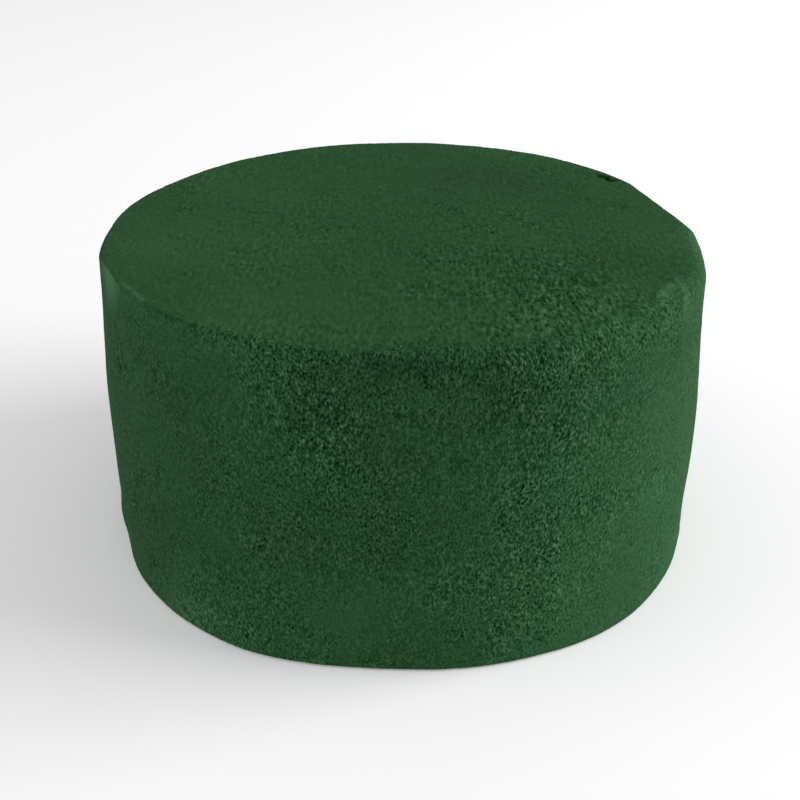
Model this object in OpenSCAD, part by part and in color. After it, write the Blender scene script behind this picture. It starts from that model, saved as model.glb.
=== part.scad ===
// Round block of floral foam: one solid puck that stands on its flat base.
// Millimetres, +Z up, origin at the centre of the base.

/* [Block] */
// Diameter at the base, where the block is widest
block_d = 80; // [50:1:160]
// Height from the base to the top face
block_h = 40; // [20:1:120]
// Angle by which the side leans in towards the top, in degrees
side_draft = 1.4; // [0:0.1:4]

/* [Edges] */
// Radius of the softened edge round the top face
top_edge_r = 2; // [0.5:0.1:6]
// Radius of the small broken edge round the base
base_edge_r = 0.5; // [0.2:0.1:3]

/* [Hidden] */

block_r = block_d / 2;
round_fn = 180;    // facets round the block
edge_steps = 8;    // straight steps along each rounded edge

// Distance of the side's straight line from the origin, along the line's own normal
side_offset = (block_r - base_edge_r) * cos(side_draft) + base_edge_r * sin(side_draft) + base_edge_r;
// Centre of the top edge's arc, which touches both the side and the top face
top_arc_z = block_h - top_edge_r;
top_arc_x = (side_offset - top_edge_r - top_arc_z * sin(side_draft)) / cos(side_draft);

// Points along an arc about [x, z], from one angle to another
function arc(x, z, r, start, end) = [
    for (i = [0:edge_steps])
        let (a = start + (end - start) * i / edge_steps)
        [x + r * cos(a), z + r * sin(a)]
];

// Half section: base, broken base edge, leaning side, softened top edge, top face
module half_section() {
    polygon(concat(
        [[0, 0]],
        arc(block_r - base_edge_r, base_edge_r, base_edge_r, -90, side_draft),
        arc(top_arc_x, top_arc_z, top_edge_r, side_draft, 90),
        [[0, block_h]]
    ));
}

module foam_block() {
    color([0.17, 0.29, 0.18])
        rotate_extrude($fn = round_fn)
            half_section();
}

foam_block();
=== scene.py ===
"""Looks of the round floral foam block.

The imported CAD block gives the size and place. A dense foam skin stands for it: rings of points round its
base, side, rim and top, moved by swells, dents, chips and grain. Lengths are in millimetres until the mesh
is made, and in metres from there on.
"""
import itertools
import math

import bpy
import numpy as np
from mathutils import Matrix, Vector


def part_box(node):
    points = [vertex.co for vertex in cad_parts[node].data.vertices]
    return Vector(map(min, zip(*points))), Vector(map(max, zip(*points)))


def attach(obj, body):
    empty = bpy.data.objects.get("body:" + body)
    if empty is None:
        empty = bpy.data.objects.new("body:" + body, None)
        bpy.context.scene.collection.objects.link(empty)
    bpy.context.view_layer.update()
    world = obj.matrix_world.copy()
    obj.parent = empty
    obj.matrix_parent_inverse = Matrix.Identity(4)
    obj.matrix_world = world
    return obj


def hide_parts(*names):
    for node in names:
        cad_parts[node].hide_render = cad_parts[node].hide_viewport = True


MM = 0.001


# Frame --------------------------------------------------------------------------------------------

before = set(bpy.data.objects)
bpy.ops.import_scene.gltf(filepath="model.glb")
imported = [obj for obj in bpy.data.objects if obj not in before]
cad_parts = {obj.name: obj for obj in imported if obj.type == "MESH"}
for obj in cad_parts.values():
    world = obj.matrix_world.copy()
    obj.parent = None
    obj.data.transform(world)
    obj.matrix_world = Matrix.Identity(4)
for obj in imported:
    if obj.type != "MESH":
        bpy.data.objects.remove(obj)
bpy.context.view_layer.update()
block_low, block_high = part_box("foam_block")
RADIUS = (block_high.x - block_low.x) / 2 / MM
HEIGHT = (block_high.z - block_low.z) / MM

# Shape of the plain block, apart from its rim, which is crisp or soft from place to place
DRAFT = math.radians(1.4)      # the side leans in by this angle
BASE_EDGE = 0.5                # radius of the broken edge round the base

# Mesh
COLUMNS = 1600                 # points round the side, about 0.16 mm apart
SIDE_ROWS = 200
RIM_ROWS = 22
BASE_EDGE_ROWS = 4
DISC_STEP = 0.2                # distance between the rings of the top face
BASE_STEP = 0.4                # and of the underside
FEWEST_COLUMNS = 25            # round the middle of a disc, and COLUMNS halves exactly down to it
HALVE_AT = 0.55                # share of the spacing at a disc's edge below which a ring halves its points
TOP_DISC = RADIUS - 2          # about where the flat top ends


# Noise --------------------------------------------------------------------------------------------

NOISE_GAIN = 1.7               # brings gradient noise up to about -1 to 1
GRANULE_REACH = 0.75           # square of a granule's radius, in cells
WEAKEST_SPOT = 0.4             # strength of the weakest spot, where the strongest has 1


def lattice_random(cell, seed):
    """A repeatable number from 0 to 1 for each lattice cell, given as whole numbers (..., 3)."""
    c = cell.astype(np.uint32)
    h = c[..., 0] * np.uint32(0x8DA6B343)
    h ^= c[..., 1] * np.uint32(0xD8163841)
    h ^= c[..., 2] * np.uint32(0xCB1AB31F)
    h ^= np.uint32(seed * 0x9E3779B1 & 0xFFFFFFFF)
    for shift, factor in ((16, 0x7FEB352D), (15, 0x846CA68B)):
        h ^= h >> np.uint32(shift)
        h *= np.uint32(factor)
    h ^= h >> np.uint32(16)
    return h.astype(np.float64) / 2**32


def noise(points, size, seed):
    """Smooth gradient noise, about -1 to 1, whose lattice is `size` millimetres."""
    q = points / size
    cell = np.floor(q).astype(np.int64)
    f = q - cell
    fade = f**3 * (f * (f * 6 - 15) + 10)
    total = np.zeros(len(points))
    for corner in itertools.product((0, 1), repeat=3):
        corner = np.array(corner)
        near = cell + corner
        turn = lattice_random(near, seed) * 2 * math.pi
        up = lattice_random(near, seed + 101) * 2 - 1
        flat = np.sqrt(1 - up * up)
        away = f - corner
        slope = away[:, 0] * flat * np.cos(turn) + away[:, 1] * flat * np.sin(turn) + away[:, 2] * up
        total += np.prod(np.where(corner, fade, 1 - fade), axis=1) * slope
    return total * NOISE_GAIN


def scattered(points, spacing, seed):
    """Scatters one place in each lattice cell, `spacing` apart.

    Yields each of the 27 cells about every point, with the square of the distance, in cells, to its place.
    """
    q = points / spacing
    cell = np.floor(q).astype(np.int64)
    f = q - cell
    for step in itertools.product((-1, 0, 1), repeat=3):
        near = cell + np.array(step)
        square = np.zeros(len(points))
        for axis in range(3):
            square += (step[axis] + lattice_random(near, seed + axis) - f[:, axis]) ** 2
        yield near, square


def granules(points, size, seed):
    """Height of rounded grains about `size` millimetres apart: 1 on a grain's top, 0 in the creases."""
    nearest = np.full(len(points), np.inf)
    for _, square in scattered(points, size, seed):
        nearest = np.minimum(nearest, square)
    return np.clip(1 - nearest / GRANULE_REACH, 0, 1)


def spots(points, spacing, reach, seed):
    """Round spots about `spacing` apart: up to 1 in the middle of each, some weaker, and 0 past `reach`."""
    strongest = np.zeros(len(points))
    for near, square in scattered(points, spacing, seed):
        strength = WEAKEST_SPOT + (1 - WEAKEST_SPOT) * lattice_random(near, seed + 3)
        strongest = np.maximum(strongest, strength * np.clip(1 - square * (spacing / reach) ** 2, 0, 1))
    return strongest


def waves(points, layers):
    """Sum of noise layers, each given as (size, strength, seed)."""
    return sum(strength * noise(points, size, seed) for size, strength, seed in layers)


def wander(points, size, reach, seed):
    """The points pushed about by noise, so that what is placed by them gets a ragged outline."""
    return points + reach * np.stack([noise(points, size, seed + i) for i in range(3)], 1)


def smooth_step(value, start, end):
    t = np.clip((value - start) / (end - start), 0, 1)
    return t * t * (3 - 2 * t)


# The plain block as rings of points ---------------------------------------------------------------

def bell(angle, centre, width):
    """1 at an azimuth, fading to 0 about `width` degrees away on either side."""
    off = (np.degrees(angle) - centre + 180) % 360 - 180
    return np.exp(-(off / width) ** 2)


def bells(angle, stretches):
    """Sum of (azimuth, spread in degrees, strength) stretches, each fading out smoothly."""
    return sum(strength * bell(angle, azimuth, spread) for azimuth, spread, strength in stretches)


# Radius of the top edge, which is crisp on the left, and the stretches (azimuth, spread in degrees, what they
# add) where it is worn softer, from the middle of the front round to the back
CRISP_RIM = 0.7
SOFT_RIM = [(-80, 14, 1.9), (-48, 20, 3.0), (2, 28, 2.2), (90, 50, 1.0)]
RIM_WAVES = [(0.08, 3, 0.6), (0.05, 7, 2.0)]       # (strength, how many go round the block, phase)


def rim_radius(angle):
    """Radius of the top edge."""
    wave = sum(strength * np.sin(count * angle + phase) for strength, count, phase in RIM_WAVES)
    return CRISP_RIM + bells(angle, SOFT_RIM) + wave


def flat_top_radius(rim):
    """Where the flat top ends and the rounded rim begins. The side's straight line fixes the rim's place."""
    side_offset = (RADIUS - BASE_EDGE) * math.cos(DRAFT) + BASE_EDGE * math.sin(DRAFT) + BASE_EDGE
    return (side_offset - rim - (HEIGHT - rim) * math.sin(DRAFT)) / math.cos(DRAFT)


def disc_rings(outer, step, columns):
    """Rings of a disc from its edge to its middle, as (share of the outer radius, columns).

    The columns halve towards the middle, where the points would crowd together.
    """
    count = int(round(outer / step))
    spacing = 2 * math.pi * outer / columns
    rings = []
    for i in range(1, count):
        share = 1 - i / count
        if columns > FEWEST_COLUMNS and 2 * math.pi * outer * share / columns < spacing * HALVE_AT:
            columns //= 2
        rings.append((share, columns))
    return rings


def ring_table():
    """Every ring from the middle of the base to the middle of the top: (part, place along it, columns)."""
    base = [("base", share, n) for share, n in disc_rings(RADIUS - BASE_EDGE, BASE_STEP, COLUMNS // 2)][::-1]
    edge = [("base_edge", i / BASE_EDGE_ROWS, COLUMNS) for i in range(BASE_EDGE_ROWS + 1)]
    side = [("side", i / SIDE_ROWS, COLUMNS) for i in range(1, SIDE_ROWS)]
    rim = [("rim", i / RIM_ROWS, COLUMNS) for i in range(RIM_ROWS + 1)]
    top = [("top", share, n) for share, n in disc_rings(TOP_DISC, DISC_STEP, COLUMNS)]
    return base + edge + side + rim + top


def place_ring(part, t, angle):
    """Radius, height and the normal's outward and upward shares along one ring."""
    cos_d, sin_d = math.cos(DRAFT), math.sin(DRAFT)
    rim = rim_radius(angle)
    rim_z = HEIGHT - rim
    rim_x = flat_top_radius(rim)
    if part == "base":
        return np.full_like(angle, t * (RADIUS - BASE_EDGE)), np.zeros_like(angle), 0.0, -1.0
    if part == "base_edge":
        a = -math.pi / 2 + t * (math.pi / 2 + DRAFT)
        r, z = RADIUS - BASE_EDGE * (1 - math.cos(a)), BASE_EDGE * (1 + math.sin(a))
        return np.full_like(angle, r), np.full_like(angle, z), math.cos(a), math.sin(a)
    if part == "side":
        low_r, low_z = RADIUS - BASE_EDGE * (1 - cos_d), BASE_EDGE * (1 + sin_d)
        high_r, high_z = rim_x + rim * cos_d, rim_z + rim * sin_d
        return low_r + t * (high_r - low_r), low_z + t * (high_z - low_z), cos_d, sin_d
    if part == "rim":
        a = DRAFT + t * (math.pi / 2 - DRAFT)
        return rim_x + rim * math.cos(a), rim_z + rim * math.sin(a), math.cos(a), math.sin(a)
    return t * rim_x, np.full_like(angle, HEIGHT), 0.0, 1.0


def plain_points(rings):
    """Points and normals of the plain block, ring by ring, from the middle of the base to that of the top."""
    points = [np.array([[0.0, 0.0, 0.0]])]
    normals = [np.array([[0.0, 0.0, -1.0]])]
    for part, t, columns in rings:
        angle = np.arange(columns) * 2 * math.pi / columns
        r, z, out, up = place_ring(part, t, angle)
        points.append(np.stack([r * np.cos(angle), r * np.sin(angle), z], 1))
        normals.append(np.stack([out * np.cos(angle), out * np.sin(angle), np.full(columns, up)], 1))
    points.append(np.array([[0.0, 0.0, HEIGHT]]))
    normals.append(np.array([[0.0, 0.0, 1.0]]))
    return np.vstack(points), np.vstack(normals)


# Wear ---------------------------------------------------------------------------------------------

def on_side(azimuth, height):
    """A point on the side. Azimuth 0 is +X and -90 is the front, in degrees."""
    a = math.radians(azimuth)
    r = RADIUS - height * math.tan(DRAFT)
    return np.array([r * math.cos(a), r * math.sin(a), height])


def on_top(x, y):
    return np.array([x, y, HEIGHT])


def on_base(x, y):
    return np.array([x, y, 0.0])


# Relief of the foam itself
UNEVENNESS = [(27, 0.16, 3), (8, 0.07, 4), (2.6, 0.03, 5)]     # (size, height, seed) of its gentle waves
FINE_SIZE, GRANULE_SIZE = 0.38, 0.52         # the two kinds of fine grain
FINE_SPREAD, GRAIN_SHARE = 0.4, 0.6          # how far fine noise strays, and what each kind adds
SKIN_GRAIN, OPEN_GRAIN = 0.0035, 0.026       # height of the grain on smooth skin, and what open foam adds
PORES = (0.55, 0.24)                         # distance between the pores, and their radius
# Besides their relief, the pores are painted darker as shade in them, and the specks paler as highlight on
# them
PORE_DEPTH, PORE_PAINTED_SHADE = 0.12, 0.55
SPECKS = (0.46, 0.185)                       # the same for the raised specks
SPECK_RISE, SPECK_PAINTED_HIGHLIGHT = 0.04, 0.40

# The pores and specks are taller than wide on the side, and drawn out along the saw's cut on the top. On the
# side the three are round the block, out from its axis and up.
SIDE_STRETCH = (1.0, 0.9, 0.7)
TOP_STRETCH = (1.0, 0.55, 1.0)

# How open the foam is where nothing is listed below, what it varies by, and its least and most
USUAL_OPENNESS = 0.16
BROAD_SIZE, BROAD_CHANGE = 11, 0.16
SMALL_SIZE, SMALL_CHANGE = 3.5, 0.20
BURST_SIZE, BURST_FROM, BURST_GAIN = 3.2, 0.3, 0.8             # small bursts of coarser grain
OPENNESS_RANGE = (-0.18, 1.15)
LEAST_OPEN = 0.03                            # even smooth skin has a trace of pores
TORN_OPENNESS, TORN_PALENESS = 0.5, 0.25     # what a fresh break adds

# Where the sawn top's grain gives way to the side's: how its line wanders, (size, reach, seed), and stretches
# (azimuth, spread in degrees, millimetres) where it lies further out, or in below 0, and is more gradual
GRAIN_LINE = [(1.3, 0.45, 8), (5, 0.5, 9)]
GRAIN_SHIFTS = [(-89, 5, -1.6), (-48, 20, 0.8)]
CRISP_CHANGE = 0.3
GRADUAL_CHANGE = [(-76, 14, 0.7), (-50, 20, 1.0)]
FRAY_DOWN, FRAY_IN = 2.0, 0.5                # how far frayed foam reaches down the side and in from the rim

# How ragged the outlines are: (size, reach, seed)
DRIFT = (3.0, 1.2, 11)                       # of the broad patches and dents
RAGGED = (0.9, 0.6, 14)                      # of the pits and worn faces
LIP_RAGGED = (0.9, 0.22, 14)
CHIP_RAGGED = (1.6, 1.0, 17)
CHIP_FLOOR = 0.45                            # share of a chip's radius where it has its full depth
PIT_MOUTH, PIT_FLOOR = 1.2, 0.2              # where a pit begins and where it is deepest, in its widths
FLECK_SIZE, FLECK_STRENGTH, MOST_FLECKED = 0.5, 0.5, 1.4       # pale flecks in the lips

# Painted light from the floor on the foot of the side, which is a little brighter up to about this height
FOOT_PAINTED_LIGHT, FOOT_HEIGHT = 0.10, 2.5

# The underside: how far down the normal points where it begins and where it is all sawn, and its own wear
UNDER_FROM, UNDER_TO = 0.2, 0.85
BASE_RELIEF, BASE_INSET = 0.6, 0.04

# Where the block is out of round: (middle, radius, how far the side moves out)
SWELLS = [
    (on_side(-127, 1), 12, 0.80), (on_side(-52, 1), 12, 0.75), (on_side(-172, 9), 9, -0.50),
    (on_side(-159, 1), 6, -0.80), (on_side(-17, 3), 7, -0.45), (on_side(-6, 34), 11, -0.70),
    (on_side(158, 40), 15, -0.90), (on_side(-176, 40), 8, -0.75), (on_side(74, 38), 19, 0.80),
    (on_side(150, 28), 12, -0.20), (on_side(-10, 37), 7, -0.25), (on_side(-92, 0), 7, -0.36),
    (on_side(-114, 0), 8, 0.40),
]

# Patches of coarse open grain, or of smoother skin where the strength is below 0: (middle, radius, strength)
COARSE = [
    # The front left of the side, from the rim down
    (on_side(-119, 38), 4, 0.08), (on_side(-111, 38), 4, 0.12), (on_side(-108, 37.5), 4, 0.22),
    (on_side(-156, 36), 5, -0.5), (on_side(-124, 34.6), 3.5, -0.12), (on_side(-104, 33), 8, 0.72),
    (on_side(-106, 32), 4, -0.10), (on_side(-101, 31), 4, 0.10), (on_side(-150, 30), 3, 0.35),
    (on_side(-112, 28), 5, -0.12), (on_side(-99, 28), 5, -0.14), (on_side(-99, 25), 6, 0.36),
    (on_side(-122, 24), 6, 0.18), (on_side(-103, 24), 5, 0.10), (on_side(-100, 22), 6, -0.16),
    (on_side(-117, 20), 6, 0.15), (on_side(-104, 19), 7, 0.12), (on_side(-143, 18), 6, 0.15),
    (on_side(-110, 18), 6, 0.10), (on_side(-117, 14), 6, 0.12), (on_side(-97, 13), 6, -0.14),
    (on_side(-124, 12), 5, 0.08), (on_side(-110, 12), 6, 0.28), (on_side(-107, 12), 6, -0.18),
    (on_side(-102, 10), 5, 0.18), (on_side(-126, 9), 5, -0.12), (on_side(-102, 9), 5, -0.14),
    (on_side(-98, 6), 6, -0.22), (on_side(-129, 3), 5, 0.14), (on_side(-113, 3), 5, 0.12),
    (on_side(-112, 3), 7, 0.28), (on_side(-122, 2), 6, 0.20),
    # The middle of the front
    (on_side(-89, 38), 6, 0.10), (on_side(-80, 38), 4, 0.12), (on_side(-95, 35), 6, 0.03),
    (on_side(-92, 34), 4, -0.12), (on_side(-77, 32), 4, -0.14), (on_side(-94, 30), 4, -0.12),
    (on_side(-87, 24), 6, 0.18), (on_side(-96, 20), 4, 0.25), (on_side(-92, 19), 5, 0.08),
    (on_side(-93, 16), 5, 0.20), (on_side(-92, 10), 7, 0.20), (on_side(-88, 6), 6, -0.20),
    (on_side(-79, 2), 5, -0.18), (on_side(-89, 1), 6, 0.16), (on_side(-84, 1), 6, -0.25),
    (on_side(-92, 0), 6, 0.14), (on_side(-82, 0), 5, 0.18),
    # The front right
    (on_side(-38, 38.5), 3, 0.20), (on_side(-41, 37), 4, 0.25), (on_side(-72, 36), 6, 0.55),
    (on_side(-61, 34), 7, 0.35), (on_side(-61, 30), 4, -0.12), (on_side(-68, 24), 8, 0.40),
    (on_side(-66, 24), 6, 0.10), (on_side(-63, 22), 6, -0.12), (on_side(-56, 20), 7, 0.20),
    (on_side(-67, 14), 9, 0.42), (on_side(-75, 10), 5, -0.12), (on_side(-76, 7), 7, 0.55),
    (on_side(-52, 5), 8, -0.20),
    # Further round the side
    (on_side(100, 33), 9, 0.40), (on_side(185, 30), 10, 0.25), (on_side(60, 22), 14, 0.50),
    (on_side(140, 12), 12, 0.55), (on_side(20, 10), 10, 0.25),
    # The top
    (on_top(0, 28), 18, -0.36), (on_top(30, 8), 9, -0.14), (on_top(-14, 4), 8, 0.08),
    (on_top(8, 2), 10, 0.14), (on_top(-33, 0), 12, -0.20), (on_top(-14, -9), 6, 0.16),
    (on_top(5, -11), 5, 0.25), (on_top(22, -11), 7, 0.38), (on_top(-4, -12), 6, 0.10),
    (on_top(5, -13), 5, 0.18), (on_top(12, -14), 6, 0.25), (on_top(25, -15), 7, -0.12),
    (on_top(-24, -20), 10, -0.10), (on_top(18, -20), 7, 0.70), (on_top(6, -23), 6, 0.14),
    (on_top(11, -27), 6, 0.25), (on_top(-8, -28), 9, -0.16), (on_top(20, -29), 7, 0.52),
    # The underside
    (on_base(-14, 10), 16, 0.5), (on_base(20, -14), 12, 0.4),
]

# Stretches of the rim where the grain is torn open: (azimuth, spread in degrees, strength)
FRAYED = [
    (-120, 11, 0.42), (-104, 16, 0.15), (-84, 14, 0.30), (-56, 14, 0.10),
    (60, 40, 0.35), (150, 30, 0.30),
]

# Shallow dents and grooves, or gentle rises where the depth is below 0: (one end, other end, width, depth)
DENTS = [
    (on_top(-8, 34), on_top(22, 30), 11.0, -0.30),
    (on_side(-97, 38.2), on_side(-80, 38.2), 2.0, 0.35),
    (on_top(-2, -21.5), on_top(20, -19), 1.6, 0.20),
    (on_top(17, -18), on_top(22, -19), 1.4, 0.25),
    (on_side(-140, 9), on_side(-128, 6), 5.0, 0.20),
    (on_side(120, 20), on_side(135, 26), 4.0, 0.30),
    (on_side(40, 8), on_side(52, 11), 3.0, 0.25),
    (on_top(-12, 14), on_top(-4, 19), 2.5, 0.12),
    (on_base(-18, -6), on_base(6, 14), 3.0, 0.20),
]

# Ragged pale lips of crushed foam along the rim: (one end, other end, width, reach of the pale foam, rise)
LIPS = [
    (on_top(28.6, -22.4), on_top(31.5, -17.2), 0.40, 1.1, 0.24),
    (on_top(31.5, -17.2), on_side(-34.5, 38.9), 0.40, 1.2, 0.26),
    (on_top(-32.4, -20.4), on_top(-29.2, -25.3), 0.30, 0.5, 0.08),
    (on_side(28, 39.2), on_side(36, 39.3), 0.45, 0.9, 0.10),
]

# Flakes broken off: (middle, radius, depth)
CHIPS = [
    (on_side(110, 34), 2.0, 0.60),
    (on_side(150, 20), 1.6, 0.45),
    (on_side(-12, 0.6), 1.8, 0.35),
    (on_side(160, 0.4), 2.2, 0.50),
    (on_side(96, 35.0), 1.6, 0.40),
]

# Deep pits: (one end, other end, width, depth)
PITS = [(on_top(28.7, 23.1), on_top(29.8, 21.5), 0.72, 0.9)]

# Faces worn pale: (middle, radius, strength)
WORN = [
    (on_side(-8, 39), 5.0, 0.4), (on_top(31.4, -18.2), 0.9, 0.5), (on_side(-34, 39.2), 1.0, 0.5),
    (on_side(-128, 1.6), 4.5, 0.8),
]

# Broad darker and paler places, partly painted light and shade: (middle, radius, share of brightness gained
# or lost)
TONES_AND_PAINTED_LIGHT = [
    # The front left of the side, from the rim down
    # The paler places just under the rim here are painted highlights on its granules
    (on_side(-108, 39.5), 5, 0.10), (on_side(-117, 38.7), 2.6, 0.08), (on_side(-124, 38.5), 4, 0.08),
    (on_side(-113, 38.5), 5, 0.06), (on_side(-121, 37), 5, -0.05), (on_side(-130, 36), 4, 0.05),
    (on_side(-117, 36), 3, -0.06), (on_side(-103, 35), 4, -0.06), (on_side(-156, 33), 4, -0.16),
    (on_side(-128, 33), 7, -0.06), (on_side(-108, 31), 7, -0.06), (on_side(-104, 28), 4, 0.06),
    (on_side(-101, 27), 4, 0.06), (on_side(-138, 26), 6, -0.06), (on_side(-101, 23), 6, 0.12),
    (on_side(-104, 20), 6, -0.07), (on_side(-131.5, 16), 8, -0.12), (on_side(-108, 16), 5, -0.04),
    # The paler places at the foot here are painted light from the floor
    (on_side(-130, 5), 4, -0.12), (on_side(-128, 3), 8, 0.14), (on_side(-98, 3), 10, 0.04),
    (on_side(-108, 2), 9, 0.14), (on_side(-110, 0), 5, 0.05),
    # The middle of the front
    # The first two are painted shade in the band just under the rim
    (on_side(-93, 38.8), 2.4, -0.33), (on_side(-86, 38.5), 2.6, -0.32), (on_side(-91, 36), 3, 0.05),
    (on_side(-77, 36), 5, -0.09), (on_side(-88, 28), 5, -0.06), (on_side(-80, 27), 4, 0.04),
    (on_side(-80, 21), 4, -0.04), (on_side(-84, 20), 16, -0.08), (on_side(-87, 16), 8, -0.05),
    (on_side(-91, 13), 5, 0.05), (on_side(-92, 12), 7, 0.05), (on_side(-90, 8), 5, -0.04),
    (on_side(-84, 6), 10, 0.04), (on_side(-83, 6), 6, -0.04), (on_side(-77, 3), 5, -0.05),
    (on_side(-88, 1), 8, -0.08), (on_side(-78, 0.8), 4, 0.06),
    # The front right
    (on_side(-22, 39), 3, 0.06), (on_side(-68, 37), 4, -0.05), (on_side(-47, 37), 6, -0.09),
    (on_side(-18, 37), 6, 0.05), (on_side(-73, 36), 6, -0.14), (on_side(-36, 35), 5, -0.10),
    (on_side(-52, 33), 8, -0.08), (on_side(-34, 33), 5, -0.05), (on_side(-58, 32), 6, -0.06),
    (on_side(-73, 29), 6, -0.06), (on_side(-76, 24), 5, 0.04), (on_side(-62, 22), 5, 0.08),
    (on_side(-41, 17), 4, 0.05), (on_side(-40, 15), 8, 0.05), (on_side(-60, 12), 7, 0.09),
    (on_side(-69, 10), 7, 0.06), (on_side(-58, 8), 9, 0.08), (on_side(-49, 8), 6, -0.08),
    # Further round the side
    (on_side(30, 10), 14, 0.06), (on_side(110, 8), 14, 0.06), (on_side(170, 8), 14, -0.05),
    # The top
    (on_top(0, 32), 14, -0.05), (on_top(-2, 26), 12, -0.05), (on_top(12, 20), 9, -0.05),
    (on_top(14, 16), 20, -0.07), (on_top(12, 14), 14, -0.05), (on_top(-34, -9), 7, 0.11),
    (on_top(2, -10), 10, -0.06), (on_top(27, -12), 8, -0.05), (on_top(27, -17), 6, -0.05),
    (on_top(24, -25.5), 7, 0.26), (on_top(20, -29), 5, 0.09), (on_top(-12, -30), 8, 0.09),
    (on_top(14, -31), 6, 0.12), (on_top(9, -35), 4, 0.08),
]

# Where a knife has shaved the rim off flat: (azimuth and slope of the cut's normal, how far it cuts below the
# corner, how much paler the cut face is made, the depth of cut at which the pale is full). On the left facet
# the pale is painted light, where the facet faces the lamp on the left.
SHAVES = [(14, 48, 1.9, 0.4, 0.04), (-155, 6, 0.56, 1.6, 0.55)]


def offset_from(points, start, end):
    """The way to each point from the nearest place on the straight line between two places."""
    along = end - start
    t = np.clip((points - start) @ along / (along @ along), 0, 1)
    return points - start - t[:, None] * along


def distance_to(points, start, end):
    return np.linalg.norm(offset_from(points, start, end), axis=1)


def soft_spots(points, patches):
    """Sum of the (middle, radius, strength) patches, each fading out smoothly."""
    total = np.zeros(len(points))
    for middle, radius, strength in patches:
        total += strength * np.exp(-np.sum((points - middle) ** 2, axis=1) / radius**2)
    return total


def shave(points, azimuth, slope, depth):
    """Flattens what stands out past one cut of the knife. Returns how much it cut away."""
    a, s = math.radians(azimuth), math.radians(slope)
    normal = np.array([math.cos(a) * math.cos(s), math.sin(a) * math.cos(s), math.sin(s)])
    past = np.maximum(points @ normal - (on_side(azimuth, HEIGHT) @ normal - depth), 0)
    points -= past[:, None] * normal
    return past


def lip_shape(points, start, end, width, run):
    """A lip along a line: its ridge, and its pale foam, which stops sharply inwards and fades outwards."""
    offset = offset_from(points, start, end)
    distance = np.linalg.norm(offset, axis=1)
    outward = np.array([start[0] + end[0], start[1] + end[1], 0.0])
    below = offset @ (outward / np.linalg.norm(outward)) - offset[:, 2] > 0
    ridge = np.exp(-((distance / width) ** 2))
    return ridge, np.where(below, np.exp(-distance / run), ridge)


def where_sawn(points, normals, angle, from_axis):
    """How much each point is sawn face, from 0 on the side to 1, and how near it is to the rim."""
    inside = flat_top_radius(rim_radius(angle)) - from_axis
    inside += waves(points, GRAIN_LINE) + bells(angle, GRAIN_SHIFTS)
    blur = CRISP_CHANGE + bells(angle, GRADUAL_CHANGE)
    above = smooth_step(inside, -blur, blur)
    below = smooth_step(-normals[:, 2], UNDER_FROM, UNDER_TO)
    at_rim = np.exp(-(((HEIGHT - points[:, 2]) / FRAY_DOWN) ** 2) - (np.maximum(inside, 0) / FRAY_IN) ** 2)
    return np.where(normals[:, 2] > 0, above, below), at_rim


def chips(points):
    """Share of a break at each point, and how deep it is."""
    ragged = wander(points, *CHIP_RAGGED)
    torn, depths = np.zeros(len(points)), np.zeros(len(points))
    for middle, radius, depth in CHIPS:
        inside = smooth_step(np.linalg.norm(ragged - middle, axis=1), radius, radius * CHIP_FLOOR)
        torn = np.maximum(torn, inside)
        depths = np.maximum(depths, depth * inside)
    return torn, depths


def pits(ragged):
    """Share of a pit at each point, where shade is painted inside it, and how deep it is."""
    painted_pit_shade, depths = np.zeros(len(ragged)), np.zeros(len(ragged))
    for start, end, width, depth in PITS:
        inside = smooth_step(distance_to(ragged, start, end), width * PIT_MOUTH, width * PIT_FLOOR)
        painted_pit_shade = np.maximum(painted_pit_shade, inside)
        depths += depth * inside
    return painted_pit_shade, depths


def lips(points):
    """How far the ragged lips stand up, and how pale their foam is, with flecks in it."""
    ragged = wander(points, *LIP_RAGGED)
    flecked = np.clip(1.0 + FLECK_STRENGTH * noise(points, FLECK_SIZE, seed=12), 0, MOST_FLECKED)
    raised, pale = np.zeros(len(points)), np.zeros(len(points))
    for start, end, width, run, rise in LIPS:
        ridge, crushed = lip_shape(ragged, start, end, width, run)
        raised += rise * ridge
        pale = np.maximum(pale, crushed * flecked)
    return raised, pale


def dents(drifted):
    """How deep the dents are, or below 0 where the foam rises."""
    return sum(depth * np.exp(-((distance_to(drifted, start, end) / width) ** 2))
               for start, end, width, depth in DENTS)


def openness(points, drifted, angle, at_rim, torn):
    """How coarse and open the foam is: below 0 on the smoothest skin, and about 1 in the open patches."""
    coarse = USUAL_OPENNESS + soft_spots(drifted, COARSE)
    coarse += BROAD_CHANGE * noise(drifted, BROAD_SIZE, seed=1)
    coarse += SMALL_CHANGE * noise(points, SMALL_SIZE, seed=2)
    coarse += BURST_GAIN * np.maximum(noise(points, BURST_SIZE, seed=13) - BURST_FROM, 0)
    coarse += at_rim * bells(angle, FRAYED)
    return np.clip(coarse + TORN_OPENNESS * torn, *OPENNESS_RANGE)


def fine_grain(points):
    """The foam's finest relief, above and below 0, of noise and rounded granules."""
    fine = noise(points, FINE_SIZE, seed=6) / FINE_SPREAD
    lumps = granules(points, GRANULE_SIZE, seed=7)
    return GRAIN_SHARE * fine + GRAIN_SHARE * (lumps - lumps.mean()) / lumps.std()


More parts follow.
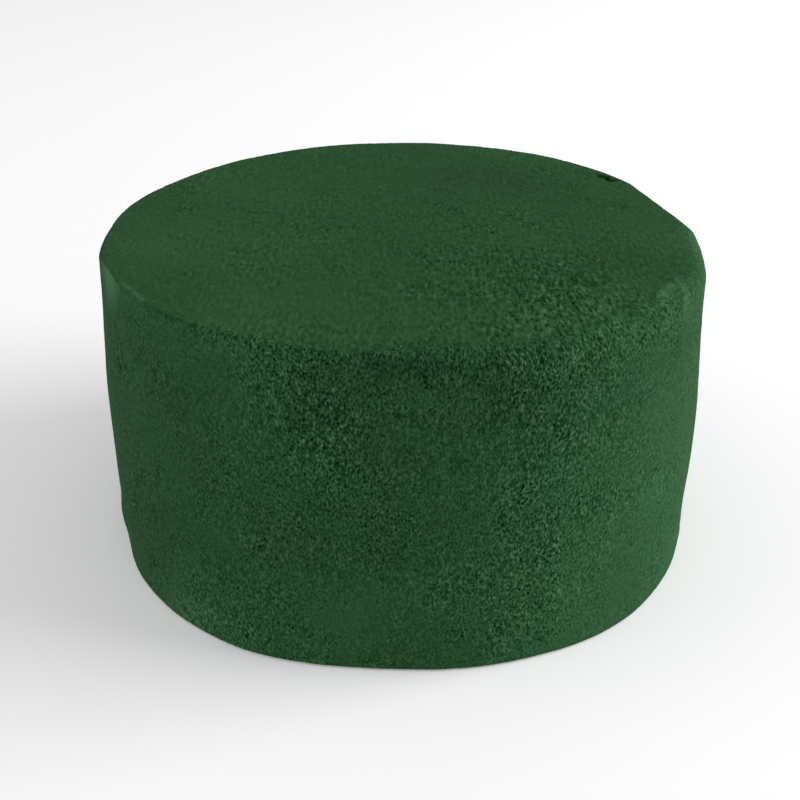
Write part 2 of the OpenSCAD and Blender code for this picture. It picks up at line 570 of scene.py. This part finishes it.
def worn_surface(points, normals):
    """Moves the plain points to the foam's real surface. Returns them with what the material reads there."""
    from_axis = np.hypot(points[:, 0], points[:, 1])
    angle = np.arctan2(points[:, 1], points[:, 0])
    level, at_rim = where_sawn(points, normals, angle, from_axis)

    outward = points * (1, 1, 0) / np.maximum(from_axis, 1)[:, None]
    points += soft_spots(points, SWELLS)[:, None] * outward
    cuts = [shave(points, azimuth, slope, depth) for azimuth, slope, depth, _, _ in SHAVES]

    drifted = wander(points, *DRIFT)
    ragged = wander(points, *RAGGED)
    torn, chipped = chips(points)
    painted_pit_shade, sunk = pits(ragged)
    raised, crushed = lips(points)
    coarse = openness(points, drifted, angle, at_rim, torn)
    opened = np.maximum(coarse, LEAST_OPEN)

    round_axis = np.stack([RADIUS * angle, from_axis, points[:, 2]], 1)
    drawn_out = np.where(level[:, None] > 0.5, points * TOP_STRETCH, round_axis * SIDE_STRETCH)
    pores = spots(drawn_out, *PORES, seed=20)
    specks = spots(drawn_out, *SPECKS, seed=30)
    height = waves(points, UNEVENNESS) - dents(drifted) + raised - chipped - sunk
    height += (SKIN_GRAIN + OPEN_GRAIN * opened) * fine_grain(points)
    height += opened * (SPECK_RISE * specks - PORE_DEPTH * pores)

    # The base only wears inwards, so that the block still stands on its plane
    under = normals[:, 2] < -0.5
    height[under] = np.minimum(height[under] * BASE_RELIEF - BASE_INSET, 0)
    moved = points + height[:, None] * normals
    moved[:, 2] = np.maximum(moved[:, 2], 0)

    pale = np.clip(soft_spots(ragged, WORN), 0, 1)
    # The shaved faces are made paler: on the left facet this is painted light, where it faces the lamp on the
    # left
    for cut, (_, _, _, paleness, full_depth) in zip(cuts, SHAVES):
        pale += paleness * smooth_step(cut, 0, full_depth)
    pale = np.maximum(np.maximum(pale, crushed), TORN_PALENESS * torn)
    # Painted light from the floor, fading out up the side from its foot
    painted_foot_light = FOOT_PAINTED_LIGHT * np.exp(-points[:, 2] / FOOT_HEIGHT) * (level < 0.5)
    return moved, {
        "coarse": coarse,
        "pale": pale,
        "painted_pit_shade": painted_pit_shade,
        "level": level,
        # Broad brightness, partly painted light and shade, with the painted light at the foot
        "tone_and_painted_light": 1 + soft_spots(drifted, TONES_AND_PAINTED_LIGHT) + painted_foot_light,
        # Painted shade in the pores and painted highlight on the specks
        "painted_pore_shade_and_speck_highlight": opened * (SPECK_PAINTED_HIGHLIGHT * specks - PORE_PAINTED_SHADE * pores),
    }


# Mesh ---------------------------------------------------------------------------------------------

def ring_faces(columns):
    """Corners of every triangle and every quad as (ring, column). A column past the last one wraps round."""
    triangles, quads = [], []
    for low in range(len(columns) - 1):
        high = low + 1
        a, b = columns[low], columns[high]
        j = np.arange(min(a, b) if min(a, b) > 1 else max(a, b))
        lower, upper, middle = np.full_like(j, low), np.full_like(j, high), np.zeros_like(j)
        if a == 1:
            triangles.append([(lower, middle), (upper, j + 1), (upper, j)])
        elif b == 1:
            triangles.append([(lower, j), (lower, j + 1), (upper, middle)])
        elif a == b:
            quads.append([(lower, j), (lower, j + 1), (upper, j + 1), (upper, j)])
        elif a == 2 * b:
            triangles.append([(lower, 2 * j), (lower, 2 * j + 1), (upper, j)])
            triangles.append([(lower, 2 * j + 1), (upper, j + 1), (upper, j)])
            triangles.append([(lower, 2 * j + 1), (lower, 2 * j + 2), (upper, j + 1)])
        else:
            triangles.append([(lower, j), (upper, 2 * j + 1), (upper, 2 * j)])
            triangles.append([(lower, j), (lower, j + 1), (upper, 2 * j + 1)])
            triangles.append([(lower, j + 1), (upper, 2 * j + 2), (upper, 2 * j + 1)])
    shapes = [np.concatenate([np.array(part) for part in parts], 2) for parts in (triangles, quads)]
    return [shape.transpose(2, 0, 1) for shape in shapes]


# The texture sheet, in millimetres: the side in four strips on the left, and the two discs on the right
STRIPS = 4
SHEET_GAP = 1.0
STRIP_WIDTH = 2 * math.pi * RADIUS / STRIPS
STRIP_HEIGHT = HEIGHT + 2      # enough for the rounded edges as well
SHEET = STRIPS * (STRIP_HEIGHT + SHEET_GAP) + SHEET_GAP


def sheet_places(corners, columns, first_side, last_side, shares):
    """Place of each face corner on the texture sheet, from 0 to 1."""
    ring, column = corners[:, :, 0], corners[:, :, 1]
    around = column / columns[ring]
    strip = np.minimum((around.min(axis=1, keepdims=True) * STRIPS).astype(int), STRIPS - 1)
    side_u = SHEET_GAP + (around * STRIPS - strip) * STRIP_WIDTH
    up = (ring - first_side) / (last_side - first_side)
    side_v = SHEET_GAP + strip * (STRIP_HEIGHT + SHEET_GAP) + up * STRIP_HEIGHT

    turn, reach = 2 * math.pi * around, RADIUS * shares[ring]
    on_upper_disc = ring.min(axis=1, keepdims=True) >= last_side
    disc_u = STRIP_WIDTH + 3 * SHEET_GAP + RADIUS + reach * np.cos(turn)
    disc_v = np.where(on_upper_disc, 3 * RADIUS + 3 * SHEET_GAP, RADIUS + SHEET_GAP) + reach * np.sin(turn)

    on_disc = on_upper_disc | (ring.max(axis=1, keepdims=True) <= first_side)
    places = np.stack([np.where(on_disc, disc_u, side_u), np.where(on_disc, disc_v, side_v)], 2)
    return places / SHEET


def foam_mesh():
    rings = ring_table()
    points, normals = plain_points(rings)
    moved, attributes = worn_surface(points, normals)

    columns = np.array([1] + [count for _, _, count in rings] + [1])
    start = np.concatenate([[0], np.cumsum(columns)[:-1]])
    faces = ring_faces(columns)
    loops = np.concatenate([(start[f[:, :, 0]] + f[:, :, 1] % columns[f[:, :, 0]]).ravel() for f in faces])
    sizes = np.concatenate([np.full(len(f), f.shape[1]) for f in faces])

    mesh = bpy.data.meshes.new("foam_skin")
    mesh.vertices.add(len(moved))
    mesh.vertices.foreach_set("co", (moved * MM).ravel())
    mesh.loops.add(len(loops))
    mesh.loops.foreach_set("vertex_index", loops)
    mesh.polygons.add(len(sizes))
    mesh.polygons.foreach_set("loop_start", np.concatenate([[0], np.cumsum(sizes)[:-1]]))

    parts = ["base"] + [part for part, _, _ in rings] + ["top"]
    shares = np.array([0.0] + [share if part in ("base", "top") else 1.0 for part, share, _ in rings] + [0.0])
    first_side, last_side = parts.index("base_edge"), len(parts) - 1 - parts[::-1].index("rim")
    places = [sheet_places(f, columns, first_side, last_side, shares).reshape(-1, 2) for f in faces]
    mesh.uv_layers.new(name="OFBake").data.foreach_set("uv", np.vstack(places).astype(np.float32).ravel())

    mesh.update(calc_edges=True)
    mesh.validate()
    mesh.shade_smooth()
    for name, values in attributes.items():
        mesh.attributes.new(name, "FLOAT", "POINT").data.foreach_set("value", values.astype(np.float32))
    return mesh


# Material -----------------------------------------------------------------------------------------

# Colours: the side, the sawn top, the painted shade inside deep pits, and freshly crushed or cut foam, which
# also paints light on the left shaved facet
GREEN = (0.0236, 0.0772, 0.0298)
# Less blue and red than the side's green, a painted offset for the grey gloss and sheen that the lights add
# on the top
TOP_GREEN = (0.0229, 0.0778, 0.0259)
PIT_SHADE_GREEN = (0.004, 0.014, 0.006)
# Pale green of fresh foam, also used for the painted light on the left shaved facet
FRESH_FOAM_AND_PAINTED_LIGHT = (0.062, 0.150, 0.072)
PALEST, MOST_PIT_SHADE = 0.60, 0.95   # most of FRESH_FOAM_AND_PAINTED_LIGHT and of PIT_SHADE_GREEN that shows

# Sizes of the foam's cells in millimetres: on the side round the block, into it and up, and on the sawn top,
# where they are drawn out along the saw's cut
SIDE_CELLS = (0.33, 0.50, 0.37)
TOP_CELLS = (0.46, 1.30, 0.46)
FRONT_CELLS = 0.18             # how much narrower the side's are at the front and back, and wider between
MIDDLE = 0.53                  # cell noise that is neither pore nor wall

# How strongly the cells, clumps of them and small sharp pricks show
SMOOTH_CONTRAST, COARSE_CONTRAST = 0.64, 2.55
CLUMP_SIZE, CLUMP_CONTRAST = 1.7, 0.55
SIDE_PRICKS, TOP_PRICKS = 0.6, 0.8           # so many to a cell's length
# The pricks are pores painted darker as shade, with no relief of their own
PRICK_PAINTED_SHADE, TOP_PRICK_SHARE = 1.9, 0.65
PRICK_RIM, PRICK_MIDDLE = 0.40, 0.05         # where one begins and where it is deepest, in its own lattice
# The deeper green in the pores is painted shade, and the greyer green on the walls painted highlight
RED_DEPTH, BLUE_DEPTH = 1.7, 1.5             # the pores are a deeper green, and the walls a greyer one

# Broad changes of brightness and of warmth: (size in millimetres, detail, least, most)
NOISE_RANGE = (0.3, 0.7)                     # what a noise node mostly gives
MOTTLING = (14, 3, 0.94, 1.06)
WARMTH = (5, 2, 0.97, 1.03)

CRUMB_SPACING, CRUMB_PALENESS = 4.5, 0.5
CRUMB_EDGE, CRUMB_MIDDLE = 0.06, 0.03        # in shares of the spacing
BUMP_DEPTH = 0.05
PORE_ROUGHNESS, WALL_ROUGHNESS = 1.0, 0.88
SPECULAR = 0.03
SHEEN, SHEEN_ROUGHNESS, SHEEN_TINT = 0.03, 0.5, (0.45, 0.85, 0.5, 1.0)


class Nodes:
    """Short ways to add nodes to a material."""

    def __init__(self, name):
        self.material = bpy.data.materials.new(name)
        self.material.use_nodes = True
        self.tree = self.material.node_tree
        self.shader = self.tree.nodes["Principled BSDF"]

    def add(self, kind, inputs=(), **settings):
        node = self.tree.nodes.new(kind)
        for key, value in settings.items():
            setattr(node, key, value)
        for key, value in dict(inputs).items():
            if isinstance(value, bpy.types.NodeSocket):
                self.tree.links.new(value, node.inputs[key])
            else:
                node.inputs[key].default_value = value
        return node

    def attribute(self, name):
        return self.add("ShaderNodeAttribute", attribute_name=name).outputs["Fac"]

    def in_cells(self, where, sizes):
        """Places counted in cells of these sizes, in millimetres, along the three axes."""
        scale = [1 / (size * MM) for size in sizes]
        return self.add("ShaderNodeVectorMath", {0: where, 1: scale}, operation="MULTIPLY").outputs[0]

    def round_axis(self, where):
        """Places as the way round the block, out from its axis and up, with the front and back drawn out."""
        x, y, z = self.add("ShaderNodeSeparateXYZ", {"Vector": where}).outputs[:3]
        angle = self.maths("ARCTAN2", y, x)
        warp = self.times(self.maths("SINE", self.times(angle, 2.0)), -FRONT_CELLS)
        around = self.times(self.maths("ADD", angle, warp), RADIUS * MM)
        out = self.maths("SQRT", self.maths("ADD", self.times(x, x), self.times(y, y)))
        return self.add("ShaderNodeCombineXYZ", {"X": around, "Y": out, "Z": z}).outputs[0]

    def pricks(self, where, density):
        """Small round pores, so many to a cell's length: 1 in the middle of each, and 0 between them."""
        nearest = self.add("ShaderNodeTexVoronoi", {"Vector": where, "Scale": density}).outputs["Distance"]
        return self.spread(nearest, PRICK_RIM, PRICK_MIDDLE)

    def noise(self, where, millimetres, detail=2.0):
        return self.cell_noise(self.in_cells(where, [millimetres] * 3), detail)

    def cell_noise(self, where, detail=0.0):
        node = self.add("ShaderNodeTexNoise", {"Vector": where, "Scale": 1.0, "Detail": detail})
        return node.outputs["Fac"]

    def spread(self, value, low, high, to_low=0.0, to_high=1.0):
        inputs = {"Value": value, "From Min": low, "From Max": high, "To Min": to_low, "To Max": to_high}
        return self.add("ShaderNodeMapRange", inputs, interpolation_type="SMOOTHSTEP").outputs["Result"]

    def maths(self, operation, a, b=0.0):
        return self.add("ShaderNodeMath", {0: a, 1: b}, operation=operation).outputs[0]

    def times(self, a, b):
        return self.maths("MULTIPLY", a, b)

    def blend(self, share, a, b):
        """One value fading into another."""
        return self.maths("ADD", a, self.times(share, self.maths("SUBTRACT", b, a)))

    def mix(self, share, a, b, blend="MIX"):
        a, b = [(*c, 1.0) if isinstance(c, tuple) else c for c in (a, b)]
        node = self.add("ShaderNodeMix", {0: share, 6: a, 7: b}, data_type="RGBA", blend_type=blend)
        return node.outputs[2]

    def rgb(self, red, green, blue):
        return self.add("ShaderNodeCombineColor", {"Red": red, "Green": green, "Blue": blue}).outputs[0]


def open_cells(n, where):
    """The foam's open cells: their noise, their relief, and their painted shade in the pores and painted
    highlight on the walls.
    """
    level, coarse = n.attribute("level"), n.attribute("coarse")
    on_side, on_top = n.in_cells(n.round_axis(where), SIDE_CELLS), n.in_cells(where, TOP_CELLS)
    cells = n.blend(level, n.cell_noise(on_side), n.cell_noise(on_top, 1.0))
    relief = n.times(n.maths("SUBTRACT", cells, MIDDLE), n.blend(coarse, SMOOTH_CONTRAST, COARSE_CONTRAST))

    clumps = n.times(n.maths("SUBTRACT", n.noise(where, CLUMP_SIZE, 1), 0.5), coarse)
    depth = n.maths("ADD", n.maths("ADD", relief, n.attribute("painted_pore_shade_and_speck_highlight")), n.times(clumps, CLUMP_CONTRAST))
    top_pricks = n.times(n.pricks(on_top, TOP_PRICKS), TOP_PRICK_SHARE)
    pricks = n.blend(level, n.pricks(on_side, SIDE_PRICKS), top_pricks)
    # Painted shade in the pricks of coarse foam
    painted_prick_shade = n.times(n.maths("MAXIMUM", coarse, 0.0), n.times(pricks, -PRICK_PAINTED_SHADE))
    return cells, relief, n.maths("EXPONENT", n.maths("ADD", depth, painted_prick_shade))


def mottling(n, where):
    """Broad changes in brightness, partly painted light and shade, and from bluish to yellowish green."""
    patchy, warmth = [
        n.spread(n.noise(where, size, detail), *NOISE_RANGE, least, most)
        for size, detail, least, most in (MOTTLING, WARMTH)
    ]
    broad = n.times(n.attribute("tone_and_painted_light"), patchy)
    return n.rgb(n.times(broad, warmth), broad, n.maths("DIVIDE", broad, warmth))


def crumbs(n, where):
    """Share of the loose pale crumbs that lie here and there on the foam."""
    nearest = n.add("ShaderNodeTexVoronoi", {"Vector": n.in_cells(where, [CRUMB_SPACING] * 3), "Scale": 1.0})
    return n.spread(nearest.outputs["Distance"], CRUMB_EDGE, CRUMB_MIDDLE, 0.0, CRUMB_PALENESS)


def foam_material():
    n = Nodes("foam")
    where = n.add("ShaderNodeTexCoord").outputs["Object"]
    cells, relief, shade = open_cells(n, where)

    colour = n.mix(n.attribute("level"), GREEN, TOP_GREEN)
    colour = n.mix(n.times(n.attribute("pale"), PALEST), colour, FRESH_FOAM_AND_PAINTED_LIGHT)
    # Painted shade, deeper green in the pores, and painted highlight, greyer on the walls
    cell_tone_and_painted_shade = n.rgb(n.maths("POWER", shade, RED_DEPTH), shade, n.maths("POWER", shade, BLUE_DEPTH))
    colour = n.mix(1.0, n.mix(1.0, colour, cell_tone_and_painted_shade, "MULTIPLY"), mottling(n, where), "MULTIPLY")
    colour = n.mix(crumbs(n, where), colour, FRESH_FOAM_AND_PAINTED_LIGHT)
    # Painted shade inside the deep pits
    colour = n.mix(n.times(n.attribute("painted_pit_shade"), MOST_PIT_SHADE), colour, PIT_SHADE_GREEN)
    n.tree.links.new(colour, n.shader.inputs["Base Color"])
    roughness = n.spread(cells, *NOISE_RANGE, PORE_ROUGHNESS, WALL_ROUGHNESS)
    n.tree.links.new(roughness, n.shader.inputs["Roughness"])

    bump = n.add("ShaderNodeBump", {"Height": relief, "Strength": 1.0, "Distance": BUMP_DEPTH * MM})
    n.tree.links.new(bump.outputs["Normal"], n.shader.inputs["Normal"])
    n.shader.inputs["Specular IOR Level"].default_value = SPECULAR
    n.shader.inputs["Sheen Weight"].default_value = SHEEN
    n.shader.inputs["Sheen Roughness"].default_value = SHEEN_ROUGHNESS
    n.shader.inputs["Sheen Tint"].default_value = SHEEN_TINT
    return n.material


# Stage --------------------------------------------------------------------------------------------

FLOOR_REACH = 3.0              # half the floor's width, in metres
FLOOR_COLOUR, FLOOR_GLOW = (0.93, 0.93, 0.93, 1.0), 0.18
FLOOR_ROUGHNESS, FLOOR_SPECULAR = 0.9, 0.1
WHITE = (1.0, 1.0, 1.0, 1.0)
WORLD_BRIGHTNESS = 0.50

# (name, azimuth, elevation, distance, size, watts), in degrees and metres. The key light is at the right.
SOFTBOXES = [("key", 4, 23, 1.0, 0.7, 10.1), ("fill", 188, 15, 1.2, 0.9, 3.4)]


def floor():
    mesh = bpy.data.meshes.new("floor")
    corners = [(x * FLOOR_REACH, y * FLOOR_REACH, 0) for x, y in ((-1, -1), (1, -1), (1, 1), (-1, 1))]
    mesh.from_pydata(corners, [], [(0, 1, 2, 3)])
    piece = bpy.data.objects.new("floor", mesh)
    bpy.context.scene.collection.objects.link(piece)
    n = Nodes("floor")
    n.shader.inputs["Base Color"].default_value = FLOOR_COLOUR
    n.shader.inputs["Emission Color"].default_value = WHITE
    n.shader.inputs["Emission Strength"].default_value = FLOOR_GLOW
    n.shader.inputs["Roughness"].default_value = FLOOR_ROUGHNESS
    n.shader.inputs["Specular IOR Level"].default_value = FLOOR_SPECULAR
    mesh.materials.append(n.material)


def softbox(name, azimuth, elevation, distance, size, watts):
    """A square area light that faces the block."""
    light = bpy.data.lights.new(name, "AREA")
    light.shape = "SQUARE"
    light.size = size
    light.energy = watts
    lamp = bpy.data.objects.new(name, light)
    a, e = math.radians(azimuth), math.radians(elevation)
    lamp.location = Vector((math.cos(a) * math.cos(e), math.sin(a) * math.cos(e), math.sin(e))) * distance
    lamp.rotation_euler = lamp.location.to_track_quat("Z", "Y").to_euler()
    bpy.context.scene.collection.objects.link(lamp)


def lights():
    world = bpy.data.worlds.new("world")
    world.use_nodes = True
    background = world.node_tree.nodes["Background"]
    background.inputs["Color"].default_value = WHITE
    background.inputs["Strength"].default_value = WORLD_BRIGHTNESS
    bpy.context.scene.world = world
    for settings in SOFTBOXES:
        softbox(*settings)


# The camera looks at the block from the front. Angles are in degrees.
CAMERA_ELEVATION = 26.1        # above the horizon
CAMERA_DISTANCE = 164.9        # from the middle of the block, in millimetres
CAMERA_PITCH = 1.67            # it aims this much lower than the middle
CAMERA_YAW = -0.14
CAMERA_ROLL = 0.82
LENS = 54.0
CLIP_START = 0.005             # in metres


def camera():
    data = bpy.data.cameras.new("camera")
    data.lens = LENS
    data.clip_start = CLIP_START
    eye = bpy.data.objects.new("camera", data)
    e = math.radians(CAMERA_ELEVATION)
    middle = Vector((0, 0, HEIGHT / 2 * MM))
    eye.location = middle + Vector((0, -math.cos(e), math.sin(e))) * CAMERA_DISTANCE * MM
    down, yaw = e + math.radians(CAMERA_PITCH), math.radians(CAMERA_YAW)
    ahead = Vector((math.sin(yaw) * math.cos(down), math.cos(yaw) * math.cos(down), -math.sin(down)))
    roll = Matrix.Rotation(math.radians(CAMERA_ROLL), 4, "Z")
    eye.rotation_euler = (ahead.to_track_quat("-Z", "Y").to_matrix().to_4x4() @ roll).to_euler()
    bpy.context.scene.collection.objects.link(eye)
    bpy.context.scene.camera = eye


# Build --------------------------------------------------------------------------------------------

skin = bpy.data.objects.new("foam_skin", foam_mesh())
bpy.context.scene.collection.objects.link(skin)
skin.data.materials.append(foam_material())
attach(skin, "root")
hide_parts("foam_block")

floor()
lights()
camera()
bpy.context.scene.view_settings.view_transform = "Standard"
